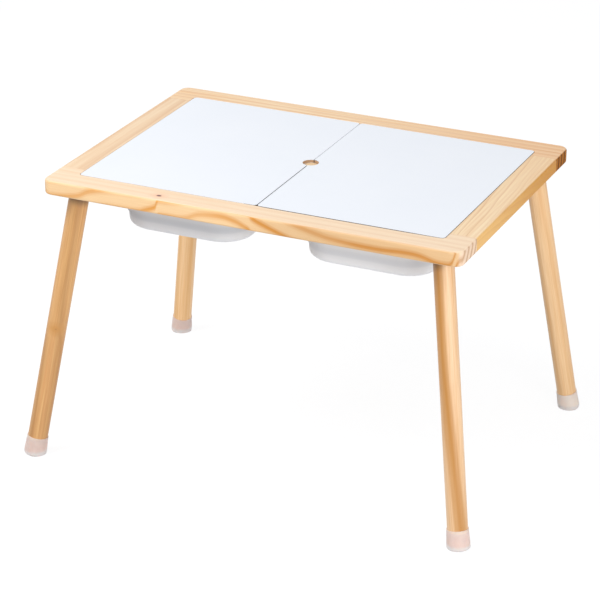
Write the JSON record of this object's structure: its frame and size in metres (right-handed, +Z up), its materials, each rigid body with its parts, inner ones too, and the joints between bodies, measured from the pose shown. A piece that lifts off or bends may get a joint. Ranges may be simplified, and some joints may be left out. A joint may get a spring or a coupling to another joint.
{
  "type": "kids table with storage",
  "caption": "Low pine children's table with splayed round legs, capped feet and white lift-out lids that share a finger hole over hanging storage bins.",
  "frame": {"origin": "on the floor, under the middle of the top", "axes": "+X to the right along the top's long side, +Y to the back, +Z up"},
  "size_m": [0.887, 0.651, 0.543],
  "materials": {
    "pine_long_rail": "sanded pine under clear satin lacquer",
    "pine_short_rail": "sanded pine under clear satin lacquer",
    "pine_ledge": "planed pine, lightly sealed",
    "pine_leg": "turned pine under clear satin lacquer",
    "beech_dowel": "bare fluted beech",
    "fibreboard": "cut edge of medium-density fibreboard",
    "white_laminate": "smooth satin-gloss white melamine",
    "bin_plastic": "moulded polypropylene, fine satin texture",
    "silicone_cap": "cloudy translucent silicone",
    "zinc_plate": "pressed steel, zinc plated",
    "zinc_screw": "steel, zinc plated"
  },
  "bodies": {
    "frame": {"front_rail": "pine_long_rail", "back_rail": "pine_long_rail", "left_rail": "pine_short_rail", "right_rail": "pine_short_rail", "rail_dowels": "beech_dowel", "front_ledge": "pine_ledge", "back_ledge": "pine_ledge", "left_ledge": "pine_ledge", "right_ledge": "pine_ledge", "ledge_screws": "zinc_screw", "crossbar": "pine_ledge", "crossbar_dowels": "beech_dowel", "front_left_leg": "pine_leg", "front_right_leg": "pine_leg", "back_left_leg": "pine_leg", "back_right_leg": "pine_leg", "front_left_leg_plate": "zinc_plate", "front_right_leg_plate": "zinc_plate", "back_left_leg_plate": "zinc_plate", "back_right_leg_plate": "zinc_plate", "hanger_bolts": "zinc_screw", "plate_screws": "zinc_screw", "front_left_foot_cap": "silicone_cap", "front_right_foot_cap": "silicone_cap", "back_left_foot_cap": "silicone_cap", "back_right_foot_cap": "silicone_cap"},
    "left_bin": {"left_bin": "bin_plastic"},
    "right_bin": {"right_bin": "bin_plastic"},
    "left_lid": {"left_lid_core": "fibreboard", "left_lid_face": "white_laminate", "left_lid_back": "white_laminate"},
    "right_lid": {"right_lid_core": "fibreboard", "right_lid_face": "white_laminate", "right_lid_back": "white_laminate"}
  },
  "joints": [
    {"name": "left_bin_lift", "type": "slide", "parent": "frame", "child": "left_bin", "axis": [0, 0, 1], "range_m": [0, 0.13]},
    {"name": "right_bin_lift", "type": "slide", "parent": "frame", "child": "right_bin", "axis": [0, 0, 1], "range_m": [0, 0.13]},
    {"name": "left_lid_lift", "type": "slide", "parent": "left_bin", "child": "left_lid", "axis": [0, 0, 1], "range_m": [0, 0.12]},
    {"name": "right_lid_lift", "type": "slide", "parent": "right_bin", "child": "right_lid", "axis": [0, 0, 1], "range_m": [0, 0.12]}
  ]
}
